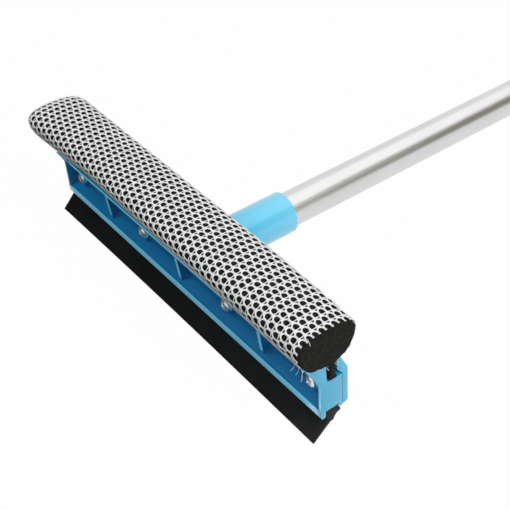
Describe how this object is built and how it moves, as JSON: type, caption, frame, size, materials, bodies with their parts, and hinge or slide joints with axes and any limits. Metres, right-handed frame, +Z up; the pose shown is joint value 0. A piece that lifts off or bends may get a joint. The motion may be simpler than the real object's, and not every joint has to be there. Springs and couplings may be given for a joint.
{
  "type": "telescopic squeegee",
  "caption": "Window squeegee: a long clamp head with a leaning rubber blade and a netted foam bar, on a twist-lock telescopic pole with a ribbed hand grip and hanging loop.",
  "frame": {"origin": "on the surface that the squeegee lies on, under the middle of its box; the blade's edge touches that surface", "axes": "+Y runs from the head back along the pole to the hand grip, +X along the head, +Z up towards the sponge"},
  "size_m": [0.262, 0.8284, 0.0722],
  "materials": {
    "blue_plastic": "light blue moulded plastic with a soft satin skin",
    "blade_rubber": "smooth black extruded rubber",
    "foam": "charcoal open-cell foam with a cut, finely grained face",
    "net": "white knitted net with round and small three-cornered holes",
    "zinc_screw": "bright zinc-plated steel",
    "satin_tube": "satin aluminium drawn tube",
    "dark_fitting": "dark moulded plastic",
    "lock_nylon": "natural nylon",
    "grip_rubber": "soft matt ribbed rubber"
  },
  "bodies": {
    "head": {"front_clamp": "blue_plastic", "rear_clamp": "blue_plastic", "rubber_blade": "blade_rubber", "sponge_core": "foam", "net_sleeve": "net", "clamp_screw_1": "zinc_screw", "clamp_screw_2": "zinc_screw", "clamp_screw_3": "zinc_screw", "clamp_screw_4": "zinc_screw", "socket_screw": "zinc_screw", "inner_tube": "satin_tube", "tube_insert": "lock_nylon", "lock_spindle": "lock_nylon", "lock_stop": "zinc_screw"},
    "expander": {"lock_expander": "lock_nylon"},
    "wedge": {"lock_wedge": "dark_fitting"},
    "handle": {"outer_tube": "satin_tube", "mouth_collar": "dark_fitting", "hand_grip": "grip_rubber", "end_cap": "dark_fitting"}
  },
  "joints": [
    {"name": "lock_twist", "type": "hinge", "parent": "head", "child": "expander", "pos_m": [0.006, 0.10436, 0.03031], "axis": [0, 1, 0], "range_deg": [0, 180]},
    {"name": "wedge_draw", "type": "slide", "parent": "expander", "child": "wedge", "axis": [0, 1, 0], "range_m": [0, 0.0008]},
    {"name": "pole_slide", "type": "slide", "parent": "expander", "child": "handle", "axis": [0, 1, 0], "range_m": [-0.22, 0.15]}
  ],
  "couplings": [
    {"joint": "wedge_draw", "follows": "lock_twist", "m_per_rad": 0.00023873}
  ]
}
